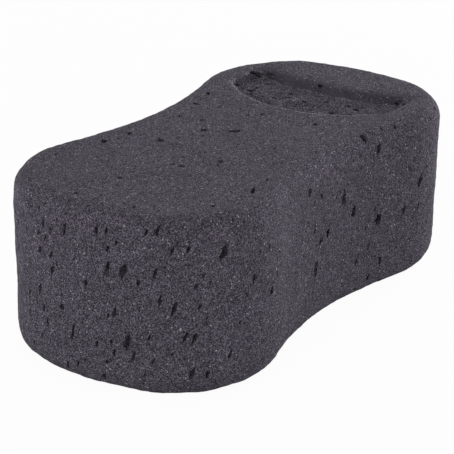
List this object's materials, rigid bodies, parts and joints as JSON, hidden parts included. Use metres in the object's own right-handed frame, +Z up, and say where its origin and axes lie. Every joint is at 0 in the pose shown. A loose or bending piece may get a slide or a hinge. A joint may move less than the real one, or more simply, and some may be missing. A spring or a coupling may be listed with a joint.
{
  "type": "cleaning sponge",
  "caption": "Waisted hand sponge of open-pored foam, with soft edges and a shallow finger dish on top of one lobe.",
  "frame": {"origin": "middle of the flat underside, at the centre of the length and the width", "axes": "+X along the length toward the lobe with the finger dish, +Y across the width, +Z up out of the top"},
  "size_m": [0.2, 0.101, 0.068],
  "materials": {
    "foam": "matte open-pored foam rubber, dark grey with fine cells and scattered open pores"
  },
  "bodies": {
    "root": {"sponge_body": "foam"}
  },
  "joints": []
}
